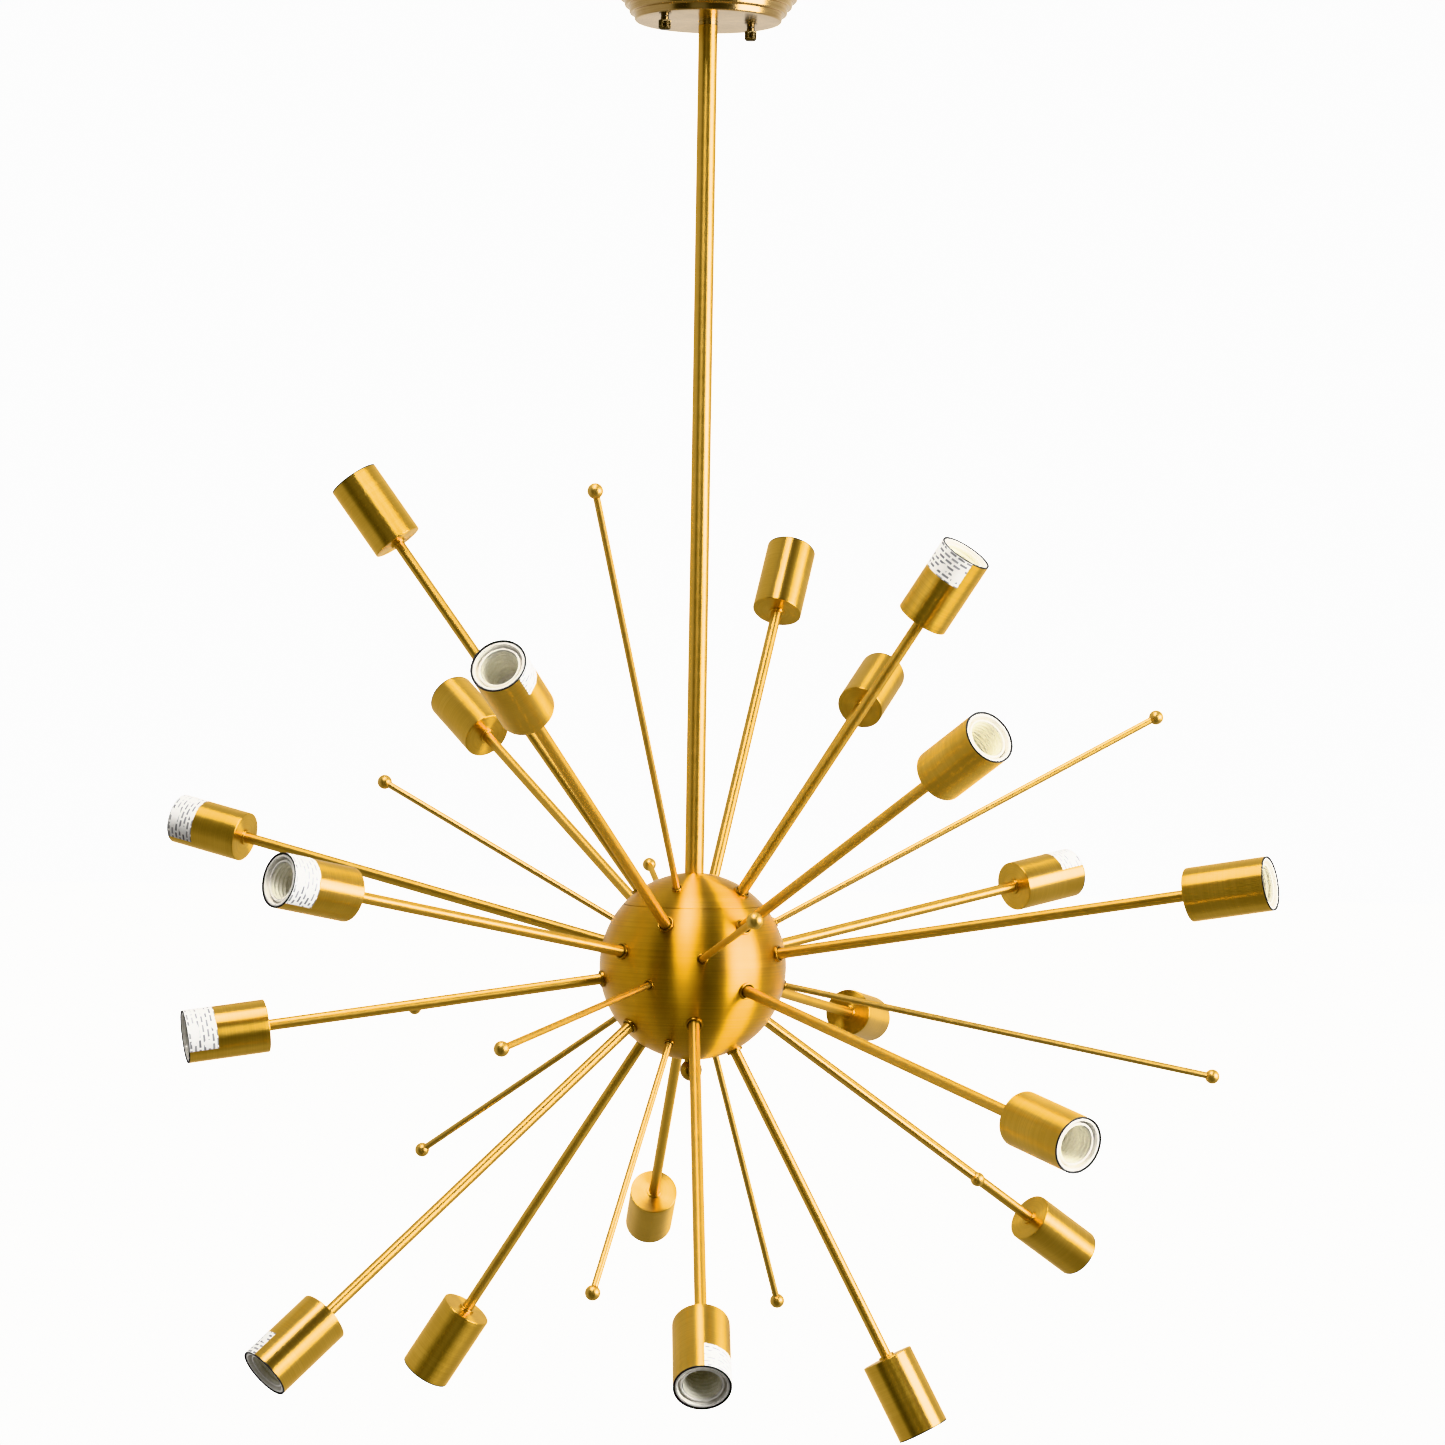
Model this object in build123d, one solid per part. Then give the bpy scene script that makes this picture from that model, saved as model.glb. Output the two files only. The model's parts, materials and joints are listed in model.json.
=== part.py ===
from build123d import *
import math
import os

os.makedirs("parts", exist_ok=True)

# Ball chandelier with straight radial arms, hung on one rigid stem from a ceiling canopy.
# Millimetres. +Z is up, +X is to the right and -Y is the front. The origin is the middle
# of the ceiling plane, which the canopy's rim and the crossbar's top face both touch.

# ---------------------------------------------------------------- driving dimensions
HUB_DROP = 795.0            # ceiling plane to the middle of the hub ball
HUB_R = 76.0                # hub ball, outside
HUB_WALL = 1.5
SEAM_HEIGHT = 50.0          # seam between bowl and cap, above the hub's middle
SEAM_GAP = 0.4              # the fine dark line that the seam shows
LAP_DEPTH = 3.2             # how far the cap's inner lip reaches down into the bowl
LAP_WALL = 1.3

STEM_R = 7.75
STEM_WALL = 1.2
STEM_PLUG_LENGTH = 18.0     # turned plugs that close both ends of the stem
FITTING_SHOW = 3.0          # the top fitting's bright band below the canopy
THREAD_TUBE_R = 5.0         # hanging spigot and hub rod, M10 x 1
WIRE_BORE_R = 3.5
FINIAL_R = 9.0

CANOPY_R = 76.0
CANOPY_HEIGHT = 27.5
CANOPY_FACE_R = 60.0        # flat face round the stem
CANOPY_WALL = 1.0
CANOPY_TIERS = 4            # stepped beads between the face and the rim
TIER_SLOPE = 0.8            # sideways run of each bead's riser
CANOPY_STEM_CLEARANCE = 0.45

CROSSBAR_LENGTH = 100.0
CROSSBAR_WIDTH = 20.0
CROSSBAR_THICK = 2.0
CROSSBAR_TURN = 35.0        # the bar stands turned from the X axis
STUD_CIRCLE_R = 42.5
STUD_R = 2.0
BOX_HOLE_CIRCLE_R = 34.925  # screw holes for a 2-3/4 in outlet box
BOX_HOLE_R = 2.4
KNOB_R = 5.0
KNOB_LENGTH = 8.0
KNOB_NECK_R = 3.2
KNOB_NECK_LENGTH = 3.0
KNOB_BORE_R = 2.08

ARM_R = 4.5
ARM_WALL = 1.0
ARM_ROOT = 66.0             # where the inner end stands, inside the ball
ARM_REACH = {"short": 350.0, "long": 425.0}    # hub's middle to the cup's back
ARM_TAIL = 7.0              # threaded end inside the cup

CUP_R = 21.0
CUP_WALL = 1.0
CUP_BACK = 2.0
CUP_LENGTH = 65.0
CUP_BOSS_R = 6.5
CUP_BOSS_LENGTH = 2.0

PORCELAIN_R = 19.7          # lampholder body, a slip fit in the cup
PORCELAIN_BACK = 14.0       # all four are distances from the cup's back
PORCELAIN_FLOOR = 26.0
PORCELAIN_RECESS = 58.5
PORCELAIN_MOUTH = 64.3
RIM_INNER_R = 17.7
LIP_R = 16.1
LIP_TOP = 62.4
SHELL_BORE_R = 13.3         # clears an E26 or E27 screw cap
SHELL_WALL = 0.8
SHELL_TOP = 61.2
CONTACT_WIDTH = 5.0
CONTACT_THICK = 0.6
CONTACT_RISE = 5.0
SHELL_FOOT = PORCELAIN_FLOOR + CONTACT_RISE + 0.5    # the lamp's cap stops above the contact

ACCENT_R = 2.75
ACCENT_ROOT = 68.0
ACCENT_REACH = {"short": 310.0, "long": 442.0}  # hub's middle to the ball's middle
ACCENT_BALL_R = 6.0

COLLAR_HEIGHT = 1.9
COLLAR_BAND = 2.3           # ring width beyond the tube it goes round
FINE_COLLAR_HEIGHT = 1.5
FINE_COLLAR_BAND = 1.6
LEAD_R = 1.6
SUPPLY_R = 2.6
LEAD_ROOT = 16.0            # arm leads meet the supply lead this far from the middle
SLIP = 0.15                 # clearance round a fixed tube in its hole

# Lamp arms: azimuth from +X towards +Y, elevation above the horizon, length.
LAMP_ARMS = [
    (170.0, 53.5, "long"),
    (251.0, 29.5, "long"),
    (128.0, 31.0, "short"),
    (70.0, 56.5, "short"),
    (329.0, 54.0, "short"),
    (67.0, 29.5, "long"),
    (306.5, 28.0, "short"),
    (37.0, 9.5, "short"),
    (336.0, 10.0, "long"),
    (158.0, 12.5, "long"),
    (221.0, 11.0, "short"),
    (195.0, -7.5, "short"),
    (305.5, -11.0, "long"),
    (70.5, -9.5, "long"),
    (35.0, -32.5, "long"),
    (216.0, -37.0, "long"),
    (161.5, -56.5, "short"),
    (95.5, -33.0, "long"),
    (272.0, -33.0, "long"),
    (344.5, -61.5, "short"),
]

# Accent rods, each with a ball at its tip.
ACCENT_RODS = [
    (250.5, 58.0, "long"),
    (161.5, 27.5, "short"),
    (11.5, 28.0, "long"),
    (6.5, -11.5, "long"),
    (243.0, -8.0, "short"),
    (151.0, -33.0, "short"),
    (249.0, -50.0, "short"),
    (51.0, -67.5, "short"),
    (18.0, -35.5, "short"),
    (276.0, 8.5, "long"),
    (98.0, 12.5, "short"),
    (125.5, -9.0, "long"),
]

# ---------------------------------------------------------------- worked-out sizes
HUB_INNER_R = HUB_R - HUB_WALL
HUB_SEAT = math.sqrt(HUB_R ** 2 - STEM_R ** 2)      # flat land under the stem's end
HUB_PLACE = Pos(0, 0, -HUB_DROP)
CANOPY_FACE_Z = -CANOPY_HEIGHT
FITTING_END_Z = CANOPY_FACE_Z - FITTING_SHOW
STUD_END_Z = CANOPY_FACE_Z - KNOB_NECK_LENGTH - KNOB_LENGTH * 0.75
KNOB_PLAY = 0.2                                     # knob to canopy face
SPIGOT_LENGTH = 12.0


def toward(azimuth, elevation):
    """Frame at the hub's middle whose +Z runs out along a direction."""
    return HUB_PLACE * Rot(0, 0, azimuth) * Rot(0, 90 - elevation, 0)


def rod_between(radius, start, end):
    """Round bar on the local Z axis from one height to another."""
    return Pos(0, 0, (start + end) / 2) * Cylinder(radius, abs(end - start))


def tube_between(outer, inner, start, end):
    """Round tube on the local Z axis."""
    return rod_between(outer, start, end) - rod_between(inner, start - 1, end + 1)


def turned(points):
    """Solid of revolution about Z from a closed (radius, height) outline."""
    outline = [Vector(radius, 0, height) for radius, height in points]
    return revolve(make_face(Polyline(*outline, close=True)), Axis.Z, 360)


def hex_nut(across_flats, bore_r, start, height):
    """Hexagon nut on the local Z axis."""
    hexagon = RegularPolygon(across_flats / 2, 6, major_radius=False)
    nut = extrude(Pos(0, 0, start) * hexagon, height)
    return nut - rod_between(bore_r, start - 1, start + height + 1)


def ball_band(outer, inner, low, high):
    """Part of a hollow ball between two heights."""
    slab = Pos(0, 0, (low + high) / 2) * Box(4 * outer, 4 * outer, high - low)
    return (Sphere(outer) - Sphere(inner)) & slab


def save(name, shape):
    """Write one node's STEP file."""
    export_step(shape, f"parts/{name}.step")


def group(shapes):
    """Several separate solids as one node."""
    return Compound(children=[solid for shape in shapes for solid in shape.solids()])


# ---------------------------------------------------------------- hub ball
def drilled(shell):
    """Cut the ball's holes for the arms, the accent rods and the hub rod."""
    cutters = [rod_between(THREAD_TUBE_R + SLIP, -1.2 * HUB_R, 1.2 * HUB_R)]
    plan = [(arm, ARM_R + SLIP) for arm in LAMP_ARMS] + [(rod, ACCENT_R + SLIP) for rod in ACCENT_RODS]
    for (azimuth, elevation, _), radius in plan:
        aim = Rot(0, 0, azimuth) * Rot(0, 90 - elevation, 0)
        cutters.append(aim * rod_between(radius, HUB_R - 12, HUB_R + 5))
    return shell - cutters


def hub_bowl():
    shell = ball_band(HUB_R, HUB_INNER_R, -HUB_SEAT, SEAM_HEIGHT - SEAM_GAP / 2)
    seat = rod_between(STEM_R, -HUB_SEAT, -HUB_SEAT + HUB_WALL)
    return HUB_PLACE * drilled(shell + seat)


def hub_cap():
    shell = ball_band(HUB_R, HUB_INNER_R, SEAM_HEIGHT + SEAM_GAP / 2, HUB_SEAT)
    seat = rod_between(STEM_R, HUB_SEAT - HUB_WALL, HUB_SEAT)
    lip_outer = HUB_INNER_R - SLIP
    lip_inner = lip_outer - LAP_WALL
    lip = ball_band(lip_outer, lip_inner, SEAM_HEIGHT - LAP_DEPTH, SEAM_HEIGHT + LAP_DEPTH)
    bridge = ball_band(HUB_INNER_R + 0.3, lip_inner, SEAM_HEIGHT + SEAM_GAP / 2, SEAM_HEIGHT + LAP_DEPTH)
    return HUB_PLACE * drilled(shell + seat + lip + bridge)


def hub_rod():
    """Hollow threaded rod through the ball, with a window where the wires leave it."""
    rod = rod_between(THREAD_TUBE_R, -HUB_SEAT - 6, HUB_SEAT)
    plug = rod_between(STEM_R - STEM_WALL - 0.05, HUB_SEAT, HUB_SEAT + STEM_PLUG_LENGTH)
    bore = rod_between(WIRE_BORE_R, -HUB_SEAT - 7, HUB_SEAT + STEM_PLUG_LENGTH + 1)
    window = Pos(0, 0, 10) * Box(4 * THREAD_TUBE_R, 5, 50)
    return HUB_PLACE * (rod + plug - bore - window)


def bottom_finial():
    """Ball nut that closes the bottom of the hub."""
    middle = -HUB_SEAT - FINIAL_R
    neck = rod_between(FINIAL_R * 0.66, middle, -HUB_SEAT)
    bore = rod_between(THREAD_TUBE_R + 0.05, -HUB_SEAT - 7, -HUB_SEAT + 1)
    return HUB_PLACE * (Pos(0, 0, middle) * Sphere(FINIAL_R) + neck - bore)


def collar(tube_r, band, height):
    """Lock ring on the ball's skin, its foot cut to the ball's curve, with a groove round the tube."""
    outer = tube_r + band
    groove = tube_r + band * 0.35
    ring = turned([
        (tube_r + SLIP, HUB_R - 2),
        (outer, HUB_R - 2),
        (outer, HUB_R + height * 0.55),
        (outer - band * 0.25, HUB_R + height),
        (groove, HUB_R + height),
        (groove, HUB_R + height * 0.4),
        (tube_r + SLIP, HUB_R + height * 0.4),
    ])
    return ring - Sphere(HUB_R)


# ---------------------------------------------------------------- lamp arm pieces
def arm_tube(reach):
    return tube_between(ARM_R, ARM_R - ARM_WALL, ARM_ROOT, reach + ARM_TAIL)


def lamp_cup():
    """Turned cup with a flat back and a low boss round the arm."""
    bore = ARM_R + SLIP
    inner = CUP_R - CUP_WALL
    return turned([
        (bore, -CUP_BOSS_LENGTH),
        (CUP_BOSS_R, -CUP_BOSS_LENGTH),
        (CUP_BOSS_R, 0),
        (CUP_R - 0.5, 0),
        (CUP_R, 0.5),
        (CUP_R, CUP_LENGTH),
        (inner, CUP_LENGTH),
        (inner, CUP_BACK),
        (bore, CUP_BACK),
    ])


def lampholder_body():
    """Glazed porcelain body: outer rim, recessed ring, inner lip and a deep screw bore."""
    bore = SHELL_BORE_R + SHELL_WALL + SLIP
    return turned([
        (3.0, PORCELAIN_BACK),
        (PORCELAIN_R, PORCELAIN_BACK),
        (PORCELAIN_R, PORCELAIN_MOUTH),
        (RIM_INNER_R, PORCELAIN_MOUTH),
        (RIM_INNER_R - 0.5, PORCELAIN_RECESS),
        (LIP_R, PORCELAIN_RECESS),
        (LIP_R - 0.4, LIP_TOP),
        (bore, LIP_TOP),
        (bore, PORCELAIN_FLOOR),
        (3.0, PORCELAIN_FLOOR),
    ])


def lampholder_shell():
    return tube_between(SHELL_BORE_R + SHELL_WALL, SHELL_BORE_R, SHELL_FOOT, SHELL_TOP)


def lampholder_contact():
    """Spring tongue on the floor of the bore, risen in the middle."""
    floor = PORCELAIN_FLOOR
    outline = [
        (-9.0, floor),
        (8.0, floor),
        (8.0, floor + CONTACT_THICK),
        (-6.6, floor + CONTACT_THICK),
        (1.0, floor + CONTACT_RISE - CONTACT_THICK),
        (3.5, floor + CONTACT_RISE - CONTACT_THICK),
        (3.5, floor + CONTACT_RISE),
        (0.7, floor + CONTACT_RISE),
        (-9.0, floor + CONTACT_THICK),
    ]
    side = make_face(Polyline(*[Vector(x, 0, z) for x, z in outline], close=True))
    return extrude(side, CONTACT_WIDTH / 2, both=True)


def accent_ball(reach):
    return Pos(0, 0, reach) * Sphere(ACCENT_BALL_R) - rod_between(ACCENT_R + 0.05, 0, reach)


# ---------------------------------------------------------------- ceiling pieces
def canopy():
    """Spun pan: a flat face, stepped beads and a straight rim."""
    outer = [(STEM_R + CANOPY_STEM_CLEARANCE, CANOPY_FACE_Z), (CANOPY_FACE_R - 1.5, CANOPY_FACE_Z)]
    tier_run = (CANOPY_R - CANOPY_FACE_R) / CANOPY_TIERS
    tier_rise = (CANOPY_HEIGHT - 4.5) / CANOPY_TIERS
    for tier in range(CANOPY_TIERS):
        foot_r = CANOPY_FACE_R + tier * tier_run
        foot_z = CANOPY_FACE_Z + tier * tier_rise
        outer.append((foot_r, foot_z + 1.5))
        outer.append((foot_r + TIER_SLOPE, foot_z + tier_rise - 0.6))
        outer.append((foot_r + tier_run - 0.6, foot_z + tier_rise + 0.2))
    outer.append((CANOPY_R, -4.5 + 1.2))
    outer.append((CANOPY_R, 0))
    inner = [(radius - CANOPY_WALL, height + CANOPY_WALL) for radius, height in outer[1:-1]]
    inner_start = (outer[0][0], CANOPY_FACE_Z + CANOPY_WALL)
    inner_end = (CANOPY_R - CANOPY_WALL, 0)
    pan = turned(outer + [inner_end] + inner[::-1] + [inner_start])
    for angle in (CROSSBAR_TURN, CROSSBAR_TURN + 180):
        pan -= Rot(0, 0, angle) * Pos(STUD_CIRCLE_R, 0, 0) * rod_between(STUD_R + 0.4, -40, 0)
    return pan


def ceiling_crossbar():
    bar = Pos(0, 0, -CROSSBAR_THICK / 2) * Box(CROSSBAR_LENGTH, CROSSBAR_WIDTH, CROSSBAR_THICK)
    bar = fillet(bar.edges().filter_by(Axis.Z), 4)
    holes = [rod_between(THREAD_TUBE_R + 0.1, -5, 5)]
    for side in (-1, 1):
        holes.append(Pos(side * STUD_CIRCLE_R, 0, 0) * rod_between(STUD_R + 0.05, -5, 5))
        holes.append(Pos(side * BOX_HOLE_CIRCLE_R, 0, 0) * rod_between(BOX_HOLE_R, -5, 5))
    return Rot(0, 0, CROSSBAR_TURN) * (bar - holes)


def at_studs(shape):
    """The same solid at both studs."""
    return [Rot(0, 0, CROSSBAR_TURN + turn) * Pos(STUD_CIRCLE_R, 0, 0) * shape for turn in (0, 180)]


def canopy_knob():
    """Round thumb nut with a neck, a blind bore and a crowned end."""
    top = CANOPY_FACE_Z - KNOB_PLAY
    shoulder = top - KNOB_NECK_LENGTH
    end = shoulder - KNOB_LENGTH
    bore_end = STUD_END_Z - 0.6
    return turned([
        (KNOB_BORE_R, top),
        (KNOB_NECK_R, top),
        (KNOB_NECK_R, shoulder),
        (KNOB_R - 0.5, shoulder),
        (KNOB_R, shoulder - 0.5),
        (KNOB_R, end + 1.5),
        (KNOB_R - 1.5, end + 0.3),
        (0, end),
        (0, bore_end),
        (KNOB_BORE_R, bore_end),
    ])


def stem_top_fitting():
    """Turned fitting: spigot through the crossbar, body at stem size, plug into the stem."""
    spigot = rod_between(THREAD_TUBE_R, -SPIGOT_LENGTH, 0)
    body = rod_between(STEM_R, FITTING_END_Z, -SPIGOT_LENGTH)
    plug_r = STEM_R - STEM_WALL - 0.05
    plug = rod_between(plug_r, FITTING_END_Z - STEM_PLUG_LENGTH, FITTING_END_Z)
    return spigot + body + plug - rod_between(WIRE_BORE_R, -100, 1)


def stem_tube():
    return tube_between(STEM_R, STEM_R - STEM_WALL, HUB_SEAT - HUB_DROP, FITTING_END_Z)


# ---------------------------------------------------------------- write the nodes
save("ceiling_crossbar", ceiling_crossbar())
save("crossbar_studs", group(at_studs(rod_between(STUD_R, STUD_END_Z, 0))))
stud_nuts = at_studs(hex_nut(7.0, STUD_R + 0.05, -CROSSBAR_THICK - 3.2, 3.2))
spigot_nut = hex_nut(17.0, THREAD_TUBE_R + 0.05, -CROSSBAR_THICK - 5, 5)
save("crossbar_lock_nuts", group(stud_nuts + [spigot_nut]))
save("canopy", canopy())
knob_right, knob_left = at_studs(canopy_knob())
save("canopy_knob_right", knob_right)
save("canopy_knob_left", knob_left)
save("stem_top_fitting", stem_top_fitting())
save("stem_tube", stem_tube())

save("hub_bowl", hub_bowl())
save("hub_cap", hub_cap())
save("hub_rod", hub_rod())
save("bottom_finial", bottom_finial())

lock_nut = hex_nut(14.0, ARM_R + 0.05, HUB_INNER_R - 4.2, 3.5)
rod_nut = hex_nut(8.0, ACCENT_R + 0.05, HUB_INNER_R - 3.2, 2.8)
hub_nut = hex_nut(17.0, THREAD_TUBE_R + 0.05, HUB_INNER_R - 6, 5)
arm_collar = collar(ARM_R, COLLAR_BAND, COLLAR_HEIGHT)
rod_collar = collar(ACCENT_R, FINE_COLLAR_BAND, FINE_COLLAR_HEIGHT)
lock_nuts = [HUB_PLACE * hub_nut, HUB_PLACE * Rot(180, 0, 0) * hub_nut]
collars = []
bodies = []
shells = []
contacts = []
supply_end = -HUB_DROP + 5
leads = [rod_between(SUPPLY_R, supply_end, -0.5)]

for number, (azimuth, elevation, length) in enumerate(LAMP_ARMS, start=1):
    reach = ARM_REACH[length]
    aim = toward(azimuth, elevation)
    at_cup = aim * Pos(0, 0, reach)
    save(f"lamp_arm_{number:02d}", aim * arm_tube(reach))
    save(f"lamp_cup_{number:02d}", at_cup * lamp_cup())
    lock_nuts.append(aim * lock_nut)
    lock_nuts.append(at_cup * hex_nut(14.0, ARM_R + 0.05, CUP_BACK, 3.5))
    collars.append(aim * arm_collar)
    bodies.append(at_cup * lampholder_body())
    shells.append(at_cup * lampholder_shell())
    contacts.append(at_cup * lampholder_contact())
    leads.append(aim * rod_between(LEAD_R, LEAD_ROOT, reach + PORCELAIN_BACK))

rods = []
balls = []
for azimuth, elevation, length in ACCENT_RODS:
    reach = ACCENT_REACH[length]
    aim = toward(azimuth, elevation)
    rods.append(aim * rod_between(ACCENT_R, ACCENT_ROOT, reach - 1))
    balls.append(aim * accent_ball(reach - 0.5))
    lock_nuts.append(aim * rod_nut)
    collars.append(aim * rod_collar)

save("lock_nuts", group(lock_nuts))
save("hub_collars", group(collars))
save("lampholder_bodies", group(bodies))
save("lampholder_shells", group(shells))
save("lampholder_contacts", group(contacts))
save("internal_leads", group(leads))
save("accent_rods", group(rods))
save("accent_balls", group(balls))
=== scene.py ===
import json
import logging
import math
from dataclasses import dataclass, field
from enum import Enum
from typing import Callable, Optional, Sequence

import bmesh
import bpy
import numpy as np
from mathutils import Matrix, Vector


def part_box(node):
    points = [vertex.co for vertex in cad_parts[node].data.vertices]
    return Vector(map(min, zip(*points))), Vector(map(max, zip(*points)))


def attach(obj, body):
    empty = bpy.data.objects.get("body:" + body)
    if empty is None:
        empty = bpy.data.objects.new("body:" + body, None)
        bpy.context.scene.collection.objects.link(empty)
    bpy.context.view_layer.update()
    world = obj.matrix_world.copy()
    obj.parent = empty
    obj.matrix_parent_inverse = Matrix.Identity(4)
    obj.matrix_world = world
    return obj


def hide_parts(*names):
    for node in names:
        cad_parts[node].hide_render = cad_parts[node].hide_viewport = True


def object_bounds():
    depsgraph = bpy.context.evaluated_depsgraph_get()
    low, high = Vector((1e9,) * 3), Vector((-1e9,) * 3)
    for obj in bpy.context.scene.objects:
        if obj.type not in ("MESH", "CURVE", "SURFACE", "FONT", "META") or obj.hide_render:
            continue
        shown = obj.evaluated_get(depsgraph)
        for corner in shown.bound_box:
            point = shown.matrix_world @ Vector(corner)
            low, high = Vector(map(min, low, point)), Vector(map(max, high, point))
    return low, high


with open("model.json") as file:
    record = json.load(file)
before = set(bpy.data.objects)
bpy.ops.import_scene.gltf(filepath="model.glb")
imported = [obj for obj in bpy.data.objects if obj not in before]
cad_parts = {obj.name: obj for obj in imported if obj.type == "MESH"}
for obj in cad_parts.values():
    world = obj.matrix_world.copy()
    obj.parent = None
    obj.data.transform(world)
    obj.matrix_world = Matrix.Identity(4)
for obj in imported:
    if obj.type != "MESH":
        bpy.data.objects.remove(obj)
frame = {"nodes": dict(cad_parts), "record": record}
CAD_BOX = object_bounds()

LOG = logging.getLogger("chandelier")
MM = 0.001
FIXTURE = "fixture"         # the CAD body that holds everything but the canopy and its knobs
SHARP_ANGLE = math.radians(28.0)
MERGE_DISTANCE = 1e-7       # closes poles and the ends of closed outlines
SLIP = 0.15                 # millimetres between a bore and what stands in it
HUB_POLE_HOLE = 7.75        # radius of the land round the hub ball's pole holes, in millimetres
Array = np.ndarray


# ---------------------------------------------------------------------------- colour and nodes
def linear(code: str) -> tuple[float, float, float, float]:
    """Turns an sRGB hex colour into the linear colour that shaders use.

    Args:
        code: Colour as "#RRGGBB".

    Returns:
        Linear red, green, blue and an alpha of one.
    """
    channels = [int(code[i:i + 2], 16) / 255 for i in (1, 3, 5)]
    low = [c / 12.92 if c <= 0.04045 else ((c + 0.055) / 1.055) ** 2.4 for c in channels]
    return low[0], low[1], low[2], 1.0


def put(tree: bpy.types.NodeTree, kind: str, inputs: Optional[dict] = None,
        stops: Sequence[tuple[float, tuple]] = (), **settings) -> bpy.types.Node:
    """Adds one node with its settings, values and links.

    Args:
        tree: Node tree that gets the node.
        kind: Node type name.
        inputs: Input name or index to a value, or to the output socket that feeds it.
        stops: Position and linear colour of each stop, in order, on a node with a colour ramp.
        **settings: Properties of the node itself.

    Returns:
        The new node.
    """
    node = tree.nodes.new(kind)
    for key, value in settings.items():
        setattr(node, key, value)
    for key, value in (inputs or {}).items():
        if isinstance(value, bpy.types.NodeSocket):
            tree.links.new(value, node.inputs[key])
        else:
            node.inputs[key].default_value = value
    if stops:
        elements = node.color_ramp.elements
        while len(elements) < len(stops):
            elements.new(0.5)
        for element, (position, colour) in zip(elements, stops):
            element.position = position
            element.color = colour
    return node


def empty_tree(material: bpy.types.Material) -> bpy.types.NodeTree:
    """Switches a material to nodes and returns its emptied tree."""
    material.use_nodes = True
    material.node_tree.nodes.clear()
    return material.node_tree


class Coordinates(Enum):
    """What a pattern follows."""

    SURFACE = "UV"
    SOLID = "Object"


@dataclass(frozen=True)
class Metal:
    """A plated or solid metal with brush or polish marks.

    The marks are noise stretched along the tool's path. They stir the roughness and the
    colour a little, and where they have a depth they give a fine bump.
    """

    name: str
    base: str                       # lit face of the metal
    deep: str                       # tarnish and shade in the marks
    roughness: float
    anisotropy: float = 0.0
    mark_mm: float = 0.5            # spacing of the marks
    mark_length_mm: float = 40.0    # the marks circle the piece
    cloud_mm: float = 30.0          # size of the faint clouds that vary the marks
    mark_depth_mm: float = 0.006
    mark_contrast: float = 0.35
    rough_change: float = 0.06
    coordinates: Coordinates = Coordinates.SURFACE
    lacquer: float = 0.0            # weight of the clear lacquer
    lacquer_roughness: float = 0.3
    edge: str = "#FFFFFF"           # tint of the metal where it is seen at a low angle

    def build(self) -> bpy.types.Material:
        """Makes the material.

        Returns:
            The new material.
        """
        material = bpy.data.materials.new(self.name)
        tree = empty_tree(material)
        place = put(tree, "ShaderNodeTexCoord").outputs[self.coordinates.value]
        fine = 1 / (self.mark_mm * MM)
        slow = 1 / (self.mark_length_mm * MM)
        if self.coordinates is Coordinates.SOLID:
            scale = (slow, slow, fine)
        else:
            scale = (fine, slow, 1.0)
        stretched = put(tree, "ShaderNodeMapping", {"Vector": place, "Scale": scale}).outputs[0]
        marks = put(tree, "ShaderNodeTexNoise", {
            "Vector": stretched, "Scale": 1.0, "Detail": 1.0, "Roughness": 0.5,
        }).outputs["Fac"]
        cloud_scale = (1 / (self.cloud_mm * MM),) * 3
        cloudy = put(tree, "ShaderNodeMapping", {"Vector": place, "Scale": cloud_scale}).outputs[0]
        clouds = put(tree, "ShaderNodeTexNoise", {
            "Vector": cloudy, "Scale": 1.0, "Detail": 2.0,
        }).outputs["Fac"]
        mix = put(tree, "ShaderNodeMath", {0: marks, 1: clouds}, operation="MULTIPLY").outputs[0]
        # Two noises multiplied lie mostly between the first pair of values, one alone between
        # the second, so these are the ends of what the marks can change.
        spread = 0.5 * self.mark_contrast
        tint = put(tree, "ShaderNodeMapRange", {
            "Value": mix, "From Min": 0.12, "From Max": 0.4,
            "To Min": 0.5 - spread, "To Max": 0.5 + spread,
        }).outputs[0]
        colour = put(tree, "ShaderNodeValToRGB", {"Fac": tint}, stops=[
            (0.0, linear(self.deep)), (1.0, linear(self.base)),
        ]).outputs["Color"]
        rough = put(tree, "ShaderNodeMapRange", {
            "Value": marks, "From Min": 0.3, "From Max": 0.7,
            "To Min": self.roughness - self.rough_change,
            "To Max": self.roughness + self.rough_change,
        }).outputs[0]
        shader = put(tree, "ShaderNodeBsdfPrincipled", {
            "Base Color": colour, "Metallic": 1.0, "Roughness": rough,
            "Anisotropic": self.anisotropy,
            "Coat Weight": self.lacquer, "Coat Roughness": self.lacquer_roughness,
            "Specular Tint": linear(self.edge),
        })
        if self.mark_depth_mm:
            bump = put(tree, "ShaderNodeBump", {
                "Height": marks, "Distance": self.mark_depth_mm * MM,
            })
            tree.links.new(bump.outputs[0], shader.inputs["Normal"])
        if self.anisotropy:
            if self.coordinates is Coordinates.SOLID:
                tangent = put(tree, "ShaderNodeTangent", direction_type="RADIAL", axis="Z")
            else:
                tangent = put(tree, "ShaderNodeTangent", direction_type="UV_MAP", uv_map="UVMap")
            tree.links.new(tangent.outputs[0], shader.inputs["Tangent"])
        put(tree, "ShaderNodeOutputMaterial", {"Surface": shader.outputs[0]})
        return material


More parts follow.
